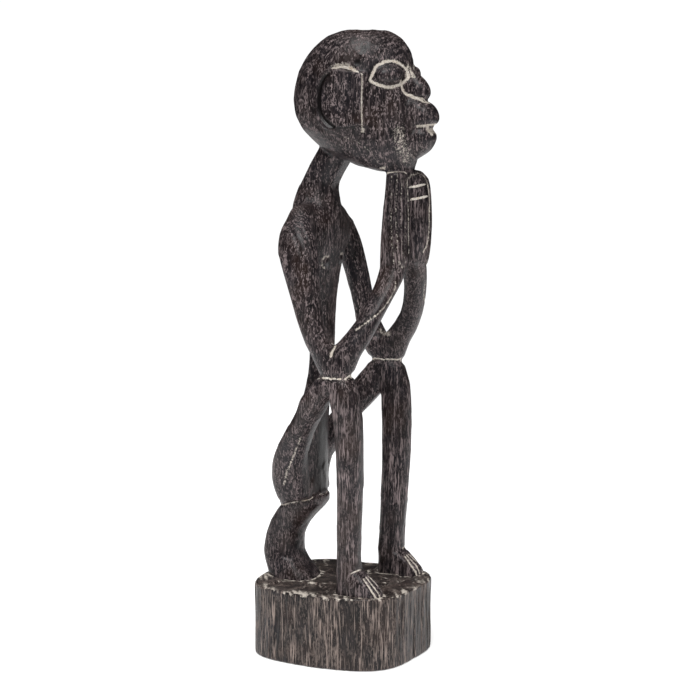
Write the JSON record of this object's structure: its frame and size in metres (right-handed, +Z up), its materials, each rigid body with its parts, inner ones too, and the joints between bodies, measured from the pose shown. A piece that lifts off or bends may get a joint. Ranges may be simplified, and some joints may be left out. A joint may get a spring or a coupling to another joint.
{
  "type": "carved ancestor figure",
  "caption": "Dark carved wooden figure seated on a curved post above a round plinth, elbows on knees and hands under the chin, its cut lines filled with pale paste; stands as an ornament.",
  "frame": {"origin": "bottom centre of the whole figure, on the surface that the plinth stands on", "axes": "+Z up, the figure looks along -Y, its left side is at +X"},
  "size_m": [0.1008, 0.121, 0.402],
  "materials": {
    "carved_wood": "dark stained coarse-pored wood, knife finished and rubbed to a low sheen, with pale filler left in the pores",
    "plinth_wood": "the same dark wood, with rough upright split grain on the side and shallow chisel facets on top",
    "lime_paste": "matt chalky off-white paste rubbed into the cut lines"
  },
  "bodies": {
    "root": {"plinth": "plinth_wood", "seat_pillar": "carved_wood", "foot_right": "carved_wood", "foot_left": "carved_wood", "shin_right": "carved_wood", "shin_left": "carved_wood", "thigh_right": "carved_wood", "thigh_left": "carved_wood", "pelvis": "carved_wood", "torso": "carved_wood", "neck": "carved_wood", "head": "carved_wood", "ear_right": "carved_wood", "ear_left": "carved_wood", "eye_right": "carved_wood", "eye_left": "carved_wood", "nose": "carved_wood", "upper_lip": "carved_wood", "lower_lip": "carved_wood", "upper_arm_right": "carved_wood", "upper_arm_left": "carved_wood", "forearm_right": "carved_wood", "forearm_left": "carved_wood", "hand_right": "carved_wood", "hand_left": "carved_wood", "seat_line": "lime_paste", "ankle_line_right": "lime_paste", "ankle_line_left": "lime_paste", "knee_line_right": "lime_paste", "knee_line_left": "lime_paste", "eye_line_right": "lime_paste", "eye_line_left": "lime_paste", "ear_line_right": "lime_paste", "ear_line_left": "lime_paste", "nose_line_right": "lime_paste", "nose_line_left": "lime_paste", "mouth_line": "lime_paste", "palm_line": "lime_paste", "finger_line_upper": "lime_paste", "finger_line_lower": "lime_paste"}
  },
  "joints": []
}
